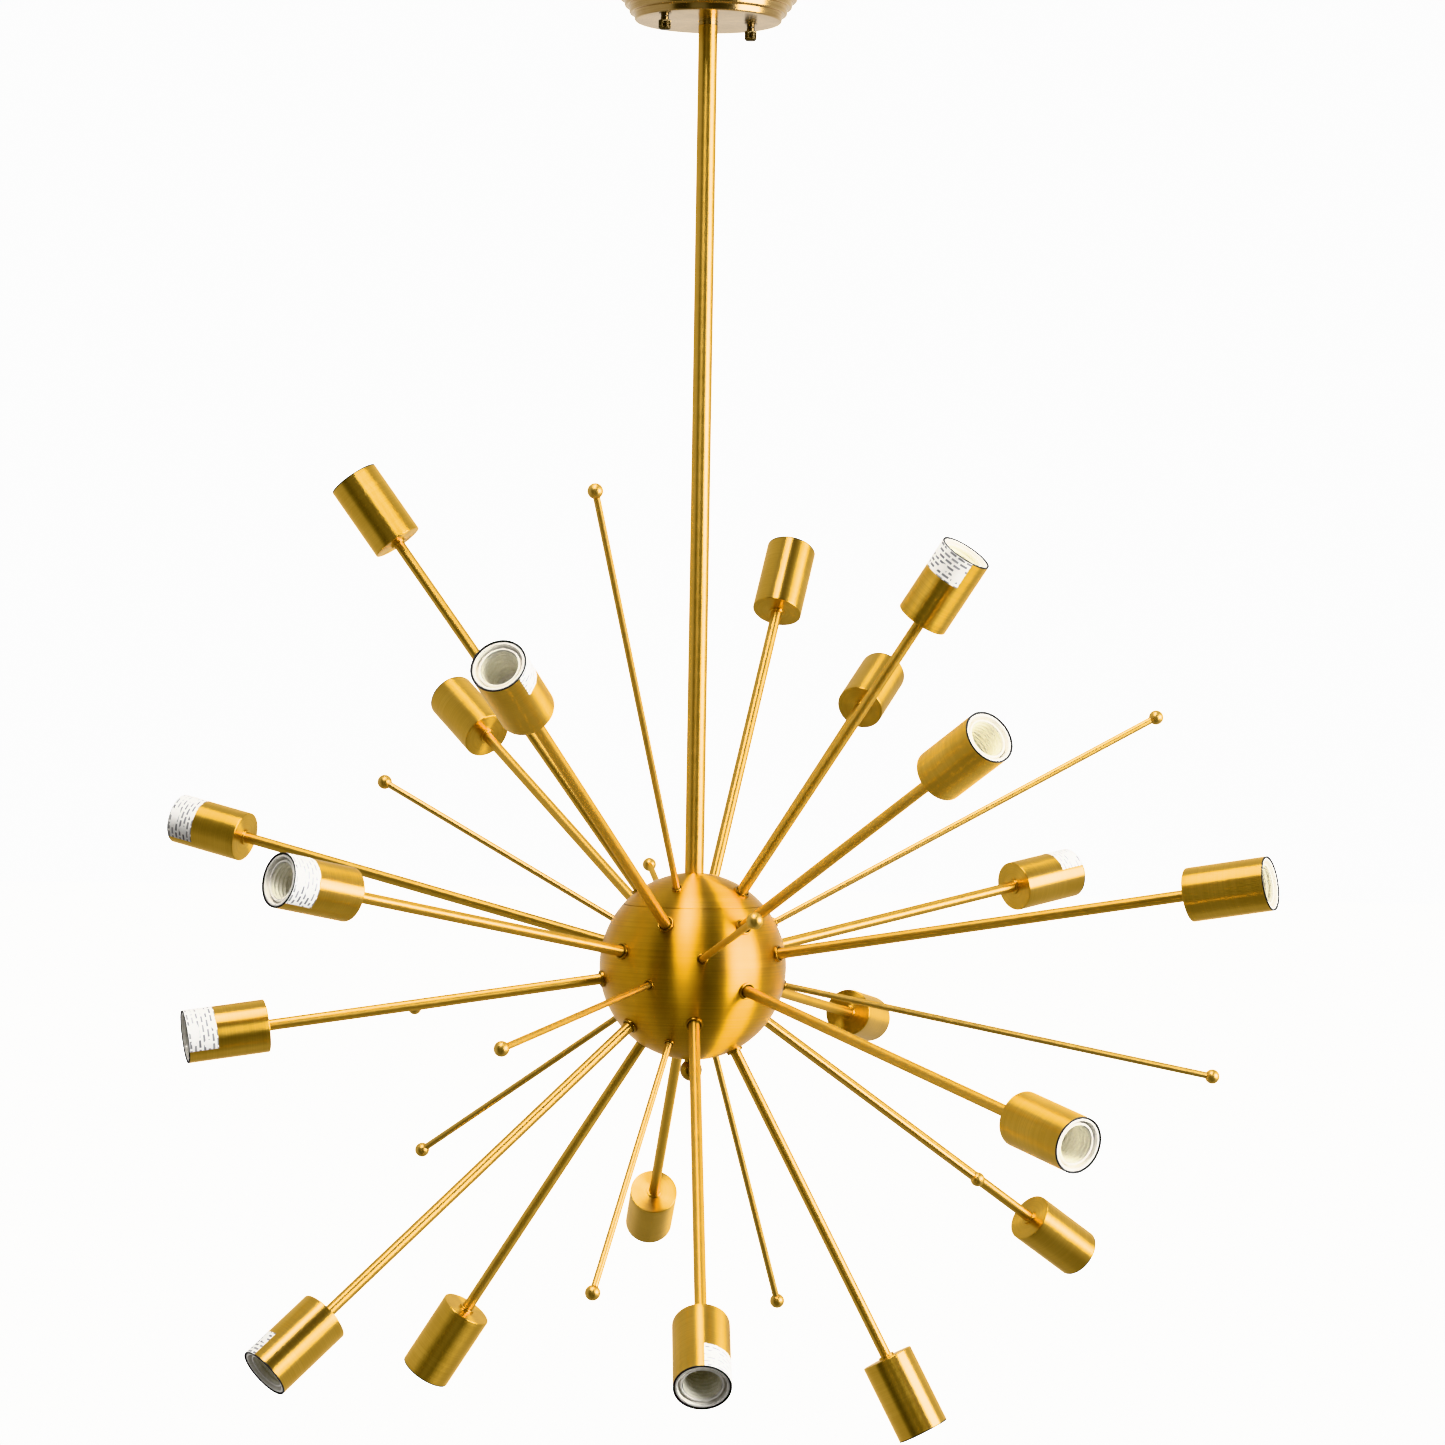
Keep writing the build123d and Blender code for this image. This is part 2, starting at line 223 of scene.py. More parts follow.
@dataclass(frozen=True)
class Dielectric:
    """A glazed, moulded, painted or paper surface with faint unevenness."""

    name: str
    base: str
    shade: str
    roughness: float
    ior: float = 1.5
    coat: float = 0.0
    coat_roughness: float = 0.05
    metallic: float = 0.0
    grain_mm: float = 2.0
    grain_depth_mm: float = 0.02
    rough_change: float = 0.04

    def build(self) -> bpy.types.Material:
        """Makes the material.

        Returns:
            The new material.
        """
        material = bpy.data.materials.new(self.name)
        tree = empty_tree(material)
        place = put(tree, "ShaderNodeTexCoord").outputs["Object"]
        scale = (1 / (self.grain_mm * MM),) * 3
        sized = put(tree, "ShaderNodeMapping", {"Vector": place, "Scale": scale}).outputs[0]
        grain = put(tree, "ShaderNodeTexNoise", {
            "Vector": sized, "Scale": 1.0, "Detail": 4.0,
        }).outputs["Fac"]
        colour = put(tree, "ShaderNodeValToRGB", {"Fac": grain}, stops=[
            (0.25, linear(self.shade)), (0.65, linear(self.base)),
        ]).outputs["Color"]
        rough = put(tree, "ShaderNodeMapRange", {
            "Value": grain, "To Min": self.roughness - self.rough_change,
            "To Max": self.roughness + self.rough_change,
        }).outputs[0]
        bump = put(tree, "ShaderNodeBump", {
            "Height": grain, "Distance": self.grain_depth_mm * MM,
        }).outputs[0]
        shader = put(tree, "ShaderNodeBsdfPrincipled", {
            "Base Color": colour, "Roughness": rough, "Normal": bump,
            "IOR": self.ior, "Metallic": self.metallic,
            "Coat Weight": self.coat, "Coat Roughness": self.coat_roughness,
        })
        put(tree, "ShaderNodeOutputMaterial", {"Surface": shader.outputs[0]})
        return material


def printed_paper(name: str, paper: str, ink: str) -> bpy.types.Material:
    """Makes coated paper with rows of plain grey bars, which say nothing.

    A brick pattern on the sticker's own map gives the bars: a row every 3.6 mm, with bars
    8 mm long less their joint, which shift from row to row. Clouds about 9 mm across leave
    some bars out.

    Args:
        name: Material name.
        paper: Colour of the paper.
        ink: Colour of the bars.

    Returns:
        The new material.
    """
    bar, row, joint, patch = 8 * MM, 3.6 * MM, 1.1 * MM, 9 * MM
    material = bpy.data.materials.new(name)
    tree = empty_tree(material)
    place = put(tree, "ShaderNodeTexCoord").outputs["UV"]
    bars = put(tree, "ShaderNodeTexBrick", {
        "Vector": place, "Scale": 1.0,
        "Color1": (1.0,) * 4, "Color2": (0.75, 0.75, 0.75, 1.0), "Mortar": (0.0, 0.0, 0.0, 1.0),
        "Brick Width": bar, "Row Height": row, "Mortar Size": joint, "Mortar Smooth": 0.2,
    }).outputs["Color"]
    patches = put(tree, "ShaderNodeTexNoise", {
        "Vector": place, "Scale": 1 / patch, "Detail": 0.0,
    }).outputs["Fac"]
    kept = put(tree, "ShaderNodeMapRange", {
        "Value": patches, "From Min": 0.4, "From Max": 0.43,
    }).outputs[0]
    share = put(tree, "ShaderNodeMath", {0: bars, 1: kept}, operation="MULTIPLY").outputs[0]
    colour = put(tree, "ShaderNodeValToRGB", {"Fac": share}, stops=[
        (0.0, linear(paper)), (1.0, linear(ink)),
    ]).outputs["Color"]
    shader = put(tree, "ShaderNodeBsdfPrincipled", {"Base Color": colour, "Roughness": 0.6})
    put(tree, "ShaderNodeOutputMaterial", {"Surface": shader.outputs[0]})
    return material


class Finishes:
    """Every finish of the chandelier, built once."""

    def __init__(self) -> None:
        """Builds the materials."""
        # Brass cup, turned in a lathe and brushed round: crisp streaks of light along the cup.
        # The brush lines are drawn coarser than the real 0.1 mm, so that a few of them show.
        self.cup = Metal("brushed_brass_turned_cup", "#EFC464", "#C4983A", 0.31, anisotropy=0.9,
                         mark_mm=1.1, mark_length_mm=70, mark_depth_mm=0.0, mark_contrast=0.35,
                         rough_change=0.012, lacquer=0.35, edge="#FFF0CC").build()
        # Drawn brass tube with a satin rub: light and dark lines along it, from the room.
        # Its marks are faint and drawn far coarser than real ones.
        self.arm = Metal("satin_brass_drawn_tube", "#EDC46C", "#CEA24A", 0.38, anisotropy=0.6,
                         mark_mm=8.0, mark_length_mm=30, mark_depth_mm=0.0, mark_contrast=0.25,
                         rough_change=0.012, lacquer=0.25, edge="#F0D294").build()
        # Brass ball spun over a former and lathe-brushed: upright bands from pole to pole.
        self.ball = Metal("lathe_brushed_spun_brass", "#EFBA44", "#C48E22", 0.43, anisotropy=0.97,
                          mark_mm=1.5, mark_length_mm=120, mark_depth_mm=0.0015, mark_contrast=0.45,
                          rough_change=0.02, lacquer=0.3).build()
        # Satin lacquered brass bar: soft clear reflections, thin bright edges.
        self.rod = Metal("satin_brass_bar", "#EDC878", "#CEA454", 0.36, mark_mm=8.0,
                         mark_length_mm=20, mark_depth_mm=0.0, mark_contrast=0.25,
                         rough_change=0.01, lacquer=0.2, edge="#ECD090").build()
        # Turned brass ring or ball nut: satin with fine tool marks round it.
        self.turned = Metal("turned_brass", "#C69840", "#80601E", 0.24, mark_mm=0.9,
                            mark_depth_mm=0.0, lacquer=0.2).build()
        # Paler plate on the fitting at the stem's top, which keeps its CAD mesh.
        self.plated = Metal("plated_stem_fitting", "#E4CE9C", "#B0945C", 0.2, mark_mm=4.0,
                            mark_length_mm=40, mark_depth_mm=0.0,
                            coordinates=Coordinates.SOLID, lacquer=0.2).build()
        # Painted shade in the groove of a lock ring: a nearly black brown finish that stands in for
        # the shadow in the gap round each arm and rod.
        self.groove = Metal("painted_shade_groove_brass", "#3A2A12", "#1C140A", 0.5, mark_mm=0.6,
                            mark_depth_mm=0.002).build()
        # Pale antique brass plate on spun steel: greyer and cooler than the brass below.
        self.antique = Metal("antique_brass_plate", "#DEC08C", "#A07E48", 0.2, anisotropy=0.4,
                             mark_mm=0.8, mark_length_mm=60, mark_depth_mm=0.001,
                             rough_change=0.02).build()
        # Oil-rubbed bronze: dark brown with warm worn crests.
        self.bronze = Metal("oil_rubbed_bronze", "#857556", "#2C261A", 0.3, mark_mm=1.2,
                            mark_length_mm=4, mark_depth_mm=0.0, mark_contrast=0.9).build()
        # Bright zinc plate on steel strip and nuts: cool grey, faintly mottled.
        self.zinc = Metal("zinc_plated_steel", "#B9BBB8", "#8D908E", 0.34, mark_mm=3.0,
                          mark_length_mm=3.0, coordinates=Coordinates.SOLID).build()
        # Pressed screw shell gone dull: cream grey, soft ridges instead of mirror lines.
        self.shell = Dielectric("dull_aluminium_shell", "#F4F1E4", "#E8E4D2", 0.6, metallic=0.1,
                                grain_mm=1.5).build()
        # Spring brass strip of the centre contact, dulled.
        self.contact = Metal("spring_brass_strip", "#9C7C40", "#54421F", 0.35, mark_mm=1.0,
                             mark_length_mm=5, coordinates=Coordinates.SOLID).build()
        # Glazed white porcelain: warm white under a clear wet gloss.
        self.porcelain = Dielectric("glazed_porcelain", "#FBF8F1", "#F4EFE6", 0.28, coat=0.6,
                                    grain_mm=6).build()
        # Black stove paint inside the cup and on its cut edge.
        self.black = Dielectric("black_stove_paint", "#0B0A09", "#060505", 0.5,
                                grain_mm=1.0).build()
        # Matt coated paper; rows of plain grey bars stand where a real sticker has its print.
        self.printed = printed_paper("printed_coated_paper", "#F6F5F3", "#77777B")
        # Silicone lead sleeve.
        self.sleeve = Dielectric("silicone_lead_sleeve", "#E9E5DA", "#DAD4C4", 0.5,
                                 grain_mm=1.5).build()


# ---------------------------------------------------------------------------- shapes
@dataclass(frozen=True)
class Placement:
    """A point and a direction; the local +Z of a turned piece runs along the direction."""

    origin: Array
    axis: Array

    def turned_frame(self) -> Array:
        """Works out the local axes: Y is level, and X is at right angles to it and the axis.

        Returns:
            A matrix whose columns are the local X, Y and Z axes.
        """
        axis = self.axis / np.linalg.norm(self.axis)
        flat = math.hypot(axis[0], axis[1])
        azimuth = math.atan2(axis[1], axis[0]) if flat > 1e-9 else 0.0
        across = np.array([-math.sin(azimuth), math.cos(azimuth), 0.0])
        return np.column_stack([np.cross(across, axis), across, axis])

    def apply(self, local: Array) -> Array:
        """Moves local points, in metres along the last axis, into the frame."""
        return local @ self.turned_frame().T + self.origin


UPRIGHT = Placement(np.zeros(3), np.array([0.0, 0.0, 1.0]))


def rounded_outline(corners: Sequence[tuple[float, float, float]], steps: int = 5) -> Array:
    """Rounds the corners of an open outline.

    Each corner with a radius is replaced by points on a quadratic curve between the two
    points that lie one radius before and after it.

    Args:
        corners: Radius, height and rounding of each corner, in millimetres.
        steps: Points on each rounded corner, less one.

    Returns:
        Outline points as an array of (radius, height), in metres.
    """
    points = np.array([(r, h) for r, h, _ in corners], float)
    outline = [points[0]]
    for index in range(1, len(points) - 1):
        here, cut = points[index], corners[index][2]
        if cut <= 0:
            outline.append(here)
            continue
        back, ahead = points[index - 1] - here, points[index + 1] - here
        start = here + back / np.linalg.norm(back) * cut
        end = here + ahead / np.linalg.norm(ahead) * cut
        t = np.linspace(0, 1, steps + 1)[:, None]
        outline.extend((1 - t) ** 2 * start + 2 * t * (1 - t) * here + t ** 2 * end)
    outline.append(points[-1])
    return np.array(outline) * MM


def subdivided(outline: Array, longest: float) -> Array:
    """Splits long runs of an outline into equal parts.

    Args:
        outline: Points of (radius, height), in metres.
        longest: Longest run that stays whole, in metres.

    Returns:
        The outline with more points on its long runs.
    """
    parts = [outline[:1]]
    for start, end in zip(outline[:-1], outline[1:]):
        count = max(1, math.ceil(np.linalg.norm(end - start) / longest))
        t = (np.arange(count) + 1)[:, None] / count
        parts.append(start + (end - start) * t)
    return np.vstack(parts)


Relief = Callable[[Array, Array], Array]


@dataclass
class MeshData:
    """Vertices, faces and a UV map in metres of travel over the surface."""

    vertices: Array
    faces: Array
    loops_uv: Array

    @staticmethod
    def turned(outline: Array, place: Placement, segments: int,
               relief: Optional[Relief] = None) -> "MeshData":
        """Turns an outline about the placement's axis.

        A point is (r cos a, r sin a, h), with r and h from the outline and a the angle, and
        the relief adds to r. U is the travel along the outline and V the travel round it.

        Args:
            outline: Points of (radius, height), in metres.
            place: Where the piece stands.
            segments: Faces round the axis.
            relief: Change of radius from angle and height, both arrays.

        Returns:
            The mesh data.
        """
        rows = len(outline)
        angle = np.linspace(0, 2 * math.pi, segments, endpoint=False)[None, :]
        radius = np.broadcast_to(outline[:, :1], (rows, segments)).copy()
        height = np.broadcast_to(outline[:, 1:], (rows, segments)).copy()
        if relief is not None:
            radius = radius + relief(np.broadcast_to(angle, radius.shape), height)
        local = np.stack([radius * np.cos(angle), radius * np.sin(angle), height], axis=-1)
        runs = np.linalg.norm(np.diff(outline, axis=0), axis=1)
        travel = np.concatenate([[0], np.cumsum(runs)])
        widest = float(outline[:, 0].max())
        row, column = np.meshgrid(np.arange(rows - 1), np.arange(segments), indexing="ij")
        following = (column + 1) % segments
        faces = np.stack([row * segments + column, row * segments + following,
                          (row + 1) * segments + following, (row + 1) * segments + column], axis=-1)
        u = np.stack([travel[row], travel[row], travel[row + 1], travel[row + 1]], axis=-1)
        step = 2 * math.pi * widest / segments
        v = np.stack([column, column + 1, column + 1, column], axis=-1) * step
        uv = np.stack([u, v], axis=-1)
        vertices = place.apply(local.reshape(-1, 3))
        return MeshData(vertices, faces.reshape(-1, 4), uv.reshape(-1, 2))

    @staticmethod
    def joined(parts: Sequence["MeshData"]) -> "MeshData":
        """Puts several meshes into one."""
        offsets = np.cumsum([0] + [len(part.vertices) for part in parts[:-1]])
        return MeshData(
            np.vstack([part.vertices for part in parts]),
            np.vstack([part.faces + offset for part, offset in zip(parts, offsets)]),
            np.vstack([part.loops_uv for part in parts]),
        )

    def piece(self, name: str, *materials: bpy.types.Material) -> bpy.types.Object:
        """Makes the Blender object.

        Rings of no radius are merged to one point and normals are made to point outwards.

        Args:
            name: Name of the piece.
            *materials: Its material slots.

        Returns:
            The new object.
        """
        mesh = bpy.data.meshes.new(name)
        mesh.from_pydata(self.vertices.tolist(), [], self.faces.tolist())
        layer = mesh.uv_layers.new(name="UVMap")
        layer.data.foreach_set("uv", self.loops_uv.astype(np.float32).ravel())
        for material in materials:
            mesh.materials.append(material)
        work = bmesh.new()
        work.from_mesh(mesh)
        bmesh.ops.remove_doubles(work, verts=work.verts, dist=MERGE_DISTANCE)
        bmesh.ops.recalc_face_normals(work, faces=work.faces)
        work.to_mesh(mesh)
        work.free()
        mesh.shade_smooth()
        mesh.set_sharp_from_angle(angle=SHARP_ANGLE)
        piece = bpy.data.objects.new(name, mesh)
        bpy.context.scene.collection.objects.link(piece)
        return piece


def close(outline: Array) -> Array:
    """Ends an outline where it starts, so that the turned piece is a closed ring."""
    return np.vstack([outline, outline[:1]])


def fit(piece: bpy.types.Object, body: str, slot: str, *nodes: str) -> bpy.types.Object:
    """Makes a finished piece ride on its body and stand for its CAD nodes.

    Args:
        piece: The piece, in place.
        body: CAD body that it moves with.
        slot: Material slot of the record; not used.
        *nodes: CAD nodes that it replaces.

    Returns:
        The same piece.
    """
    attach(piece, body)
    if nodes:
        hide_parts(*nodes)
    LOG.info("%s: %d faces on %s", piece.name, len(piece.data.polygons), body)
    return piece


def dress(finish: bpy.types.Material, *nodes: str) -> None:
    """Gives CAD nodes that stay a finish."""
    for name in nodes:
        materials = frame["nodes"][name].data.materials
        materials.clear()
        materials.append(finish)


# ---------------------------------------------------------------------------- lamp arms
@dataclass(frozen=True)
class CupSizes:
    """Turned cup and what stands in it, in millimetres; heights are from the cup's back."""

    radius: float = 21.0
    wall: float = 1.0
    back: float = 2.0
    length: float = 65.0
    painted_edge: float = 1.0       # black paint on the end of the outside wall
    edge_bevel: float = 0.35        # how far the rounded mouth edge reaches into the wall
    boss_radius: float = 6.5
    boss_length: float = 2.0
    porcelain_radius: float = 19.7
    porcelain_back: float = 14.0
    porcelain_floor: float = 26.0
    recess: float = 58.5
    mouth: float = 64.3
    rim_inner: float = 17.7
    lip_radius: float = 16.1
    lip_top: float = 62.4
    shell_radius: float = 13.3
    shell_wall: float = 0.8
    shell_foot: float = 31.5
    shell_top: float = 61.2
    thread_pitch: float = 3.63      # seven turns to the inch
    thread_depth: float = 0.75
    thread_fade: float = 1.5
    arm_radius: float = 4.5
    arm_wall: float = 1.0
    arm_tail: float = 7.0
    hole: float = 3.0               # wire hole through the porcelain's floor


@dataclass(frozen=True)
class Sticker:
    """Blank paper sticker on a cup: where it sits round the cup and how far it reaches."""

    middle_deg: float
    span_deg: float = 134.0
    width_mm: float = 23.0
    from_mouth_mm: float = 0.7
    glue_mm: float = 0.02
    paper_mm: float = 0.14


@dataclass
class LampArms:
    """The twenty lamp arms: drawn tube, brushed cup, porcelain lampholder, shell and contact."""

    finishes: Finishes
    sizes: CupSizes = field(default_factory=CupSizes)
    arm_root: float = 66.0
    segments: int = 72
    tube_segments: int = 40
    stickers: dict[int, Sticker] = field(default_factory=lambda: {
        2: Sticker(127),
        5: Sticker(253),
        8: Sticker(181),
        10: Sticker(113),
        11: Sticker(105),
        12: Sticker(127),
        16: Sticker(231),
        19: Sticker(111),
    })

    def places(self) -> dict[int, tuple[Placement, float]]:
        """Reads where the cups stand from the record's sockets.

        Returns:
            The placement of each cup's back, and its distance from the hub, by arm number.
        """
        hub = hub_centre()
        middle = (self.sizes.shell_foot + self.sizes.shell_top) / 2 * MM
        found = {}
        for mount in frame["record"]["mounts"]:
            if mount["name"].startswith("lamp_socket_"):
                axis = np.array(mount["axis"], float)
                back = np.array(mount["pos_m"], float) - axis * middle
                reach = float(np.linalg.norm(back - hub))
                found[int(mount["name"][-2:])] = (Placement(back, axis), reach)
        return found

    def cup(self, number: int, place: Placement) -> bpy.types.Object:
        """Builds a cup: an outside of brushed brass, and a black cut edge and inside.

        Args:
            number: Number of the arm.
            place: Where its cup's back stands.

        Returns:
            The cup.
        """
        s = self.sizes
        bore, edge = s.arm_radius + SLIP, s.radius - s.edge_bevel
        outside = rounded_outline([
            (bore, -s.boss_length, 0), (s.boss_radius, -s.boss_length, 0.5),
            (s.boss_radius, 0, 0.25), (s.radius, 0, 0.9),
            (s.radius, s.length - s.painted_edge, 0), (s.radius, s.length, 0.25),
            (edge, s.length, 0),
        ])
        inside = rounded_outline([
            (edge, s.length, 0), (s.radius - s.wall, s.length, 0.3),
            (s.radius - s.wall, s.back, 0.4), (bore, s.back, 0), (bore, -s.boss_length, 0),
        ])
        brass = MeshData.turned(subdivided(outside, 6 * MM), place, self.segments)
        paint = MeshData.turned(subdivided(inside, 12 * MM), place, self.segments)
        data = MeshData.joined([brass, paint])
        piece = data.piece(f"brushed_cup_{number:02d}", self.finishes.cup, self.finishes.black)

        def painted(radial: Array, height: Array) -> Array:
            """Picks the end of the outside wall and all of the inside."""
            end = height > (s.length - s.painted_edge) * MM
            within = (radial < (edge - 0.01) * MM) & (height > s.back * MM)
            return end | within

        split_materials(piece, place, painted)
        return fit(piece, FIXTURE, "cup_brass", f"lamp_cup_{number:02d}")

    def tube(self, number: int, place: Placement, reach: float) -> bpy.types.Object:
        """Builds an arm tube with rounded ends, from inside the ball into the cup.

        Args:
            number: Number of the arm.
            place: Where its cup's back stands.
            reach: Distance of the cup's back from the hub, in metres.

        Returns:
            The tube.
        """
        s = self.sizes
        inner, outer = s.arm_radius - s.arm_wall, s.arm_radius
        foot = self.arm_root - reach / MM
        outline = close(rounded_outline([
            (inner, foot, 0), (outer, foot, 0.2), (outer, s.arm_tail, 0.2), (inner, s.arm_tail, 0),
        ]))
        data = MeshData.turned(subdivided(outline, 15 * MM), place, self.tube_segments)
        piece = data.piece(f"drawn_tube_{number:02d}", self.finishes.arm)
        return fit(piece, FIXTURE, "arm_brass", f"lamp_arm_{number:02d}")

    def porcelain(self, number: int, place: Placement) -> bpy.types.Object:
        """Builds a lampholder body with a glazed rim, a recessed ring and an inner lip.

        Args:
            number: Number of the arm.
            place: Where its cup's back stands.

        Returns:
            The lampholder body.
        """
        s = self.sizes
        bore = s.shell_radius + s.shell_wall + SLIP
        outline = close(rounded_outline([
            (s.hole, s.porcelain_back, 0), (s.porcelain_radius, s.porcelain_back, 0.8),
            (s.porcelain_radius, s.mouth, 0.7), (s.rim_inner, s.mouth, 0.7),
            (s.rim_inner - 0.5, s.recess, 0.8), (s.lip_radius, s.recess, 0.5),
            (s.lip_radius - 0.4, s.lip_top, 0.6), (bore, s.lip_top, 0.5),
            (bore, s.porcelain_floor, 1.0), (s.hole, s.porcelain_floor, 0.3),
        ]))
        data = MeshData.turned(subdivided(outline, 14 * MM), place, self.segments)
        piece = data.piece(f"porcelain_holder_{number:02d}", self.finishes.porcelain)
        return fit(piece, FIXTURE, "porcelain", "lampholder_bodies")

    def shell(self, number: int, place: Placement) -> bpy.types.Object:
        """Builds a pressed screw shell.

        The wall's radius rises and falls as the cosine of a count of turns, which is the
        height over the pitch less the angle over a full turn. That is a round thread, and the
        wave fades out at both ends.

        Args:
            number: Number of the arm.
            place: Where its cup's back stands.

        Returns:
            The shell.
        """
        s = self.sizes
        count = 56
        mid_inner = s.shell_radius + 0.35
        mid_outer = s.shell_radius + s.shell_wall - 0.35
        height = np.linspace(s.shell_foot, s.shell_top, count)
        inner = np.column_stack([np.full(count, mid_inner), height])
        outer = np.column_stack([np.full(count, mid_outer), height])[::-1]
        outline = close(np.vstack([inner, outer]) * MM)

        def thread(angle: Array, level: Array) -> Array:
            """Gives the thread's height at each angle and level, in metres."""
            turns = level / (s.thread_pitch * MM) - angle / (2 * math.pi)
            from_end = np.minimum(level - s.shell_foot * MM, s.shell_top * MM - level)
            fade = np.clip(from_end / (s.thread_fade * MM), 0, 1)
            return 0.5 * s.thread_depth * MM * fade * np.cos(2 * math.pi * turns)

        data = MeshData.turned(outline, place, self.segments, thread)
        piece = data.piece(f"thread_shell_{number:02d}", self.finishes.shell)
        return fit(piece, FIXTURE, "screw_shell", "lampholder_shells")

    def sticker(self, number: int, place: Placement, what: Sticker) -> bpy.types.Object:
        """Builds a sticker: a patch of a cylinder just outside the cup, with its own thickness.

        Its points are four rows round the axis: the low and high edge of the glued face, then
        those of the printed face.

        Args:
            number: Number of the arm.
            place: Where its cup's back stands.
            what: The sticker's place and size.

        Returns:
            The sticker.
        """
        s = self.sizes
        high = (s.length - what.from_mouth_mm) * MM
        low = high - what.width_mm * MM
        half = what.span_deg / 2
        angle = np.radians(np.linspace(what.middle_deg - half, what.middle_deg + half, 25))
        columns = angle.size
        glued = (s.radius + what.glue_mm) * MM
        printed = glued + what.paper_mm * MM
        local = np.vstack([
            np.column_stack([radius * np.cos(angle), radius * np.sin(angle),
                             np.full(columns, level)])
            for radius in (glued, printed) for level in (low, high)
        ])
        index = np.arange(columns - 1)
        pairs = ((0, 1), (2, 3), (0, 2), (1, 3))        # rows that a strip of faces joins
        strips = [np.column_stack([
            start * columns + index, start * columns + index + 1,
            stop * columns + index + 1, stop * columns + index,
        ]) for start, stop in pairs]
        start_edge = np.array([0, 1, 3, 2]) * columns
        quads = np.vstack(strips + [start_edge, start_edge + columns - 1])
        flat = np.column_stack([np.tile(angle * s.radius * MM, 4), local[:, 2]])
        data = MeshData(place.apply(local), quads, flat[quads.ravel()])
        piece = data.piece(f"blank_sticker_{number:02d}", self.finishes.printed)
        return fit(piece, FIXTURE, "porcelain")

    def make(self) -> None:
        """Builds every arm and reports it."""
        for number, (place, reach) in sorted(self.places().items()):
            self.cup(number, place)
            self.tube(number, place, reach)
            self.porcelain(number, place)
            self.shell(number, place)
            if number in self.stickers:
                self.sticker(number, place, self.stickers[number])
        dress(self.finishes.contact, "lampholder_contacts")


def split_materials(piece: bpy.types.Object, place: Placement,
                    inside: Callable[[Array, Array], Array]) -> None:
    """Gives the second material to the faces that a test picks.

    Args:
        piece: The piece, with two materials.
        place: Its placement.
        inside: Test on the distance from the axis and the height of each face's middle.
    """
    mesh = piece.data
    middles = np.zeros(len(mesh.polygons) * 3)
    mesh.polygons.foreach_get("center", middles)
    offset = middles.reshape(-1, 3) - place.origin
    axis = place.axis / np.linalg.norm(place.axis)
    height = offset @ axis
    radial = np.linalg.norm(offset - height[:, None] * axis, axis=1)
    mesh.polygons.foreach_set("material_index", inside(radial, height).astype(np.int32))


def hub_centre() -> Array:
    """Finds the middle of the hub ball from the box of its bowl.

    The bowl's widest circle gives the ball's radius, and its lowest level is the edge of the
    hole round the pole, which lies below the middle by the third side of a right triangle.

    Returns:
        The point, in metres.
    """
    low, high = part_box("hub_bowl")
    radius = (high.x - low.x) / 2
    depth = math.sqrt(radius ** 2 - (HUB_POLE_HOLE * MM) ** 2)
    return np.array([(low.x + high.x) / 2, (low.y + high.y) / 2, low.z + depth])


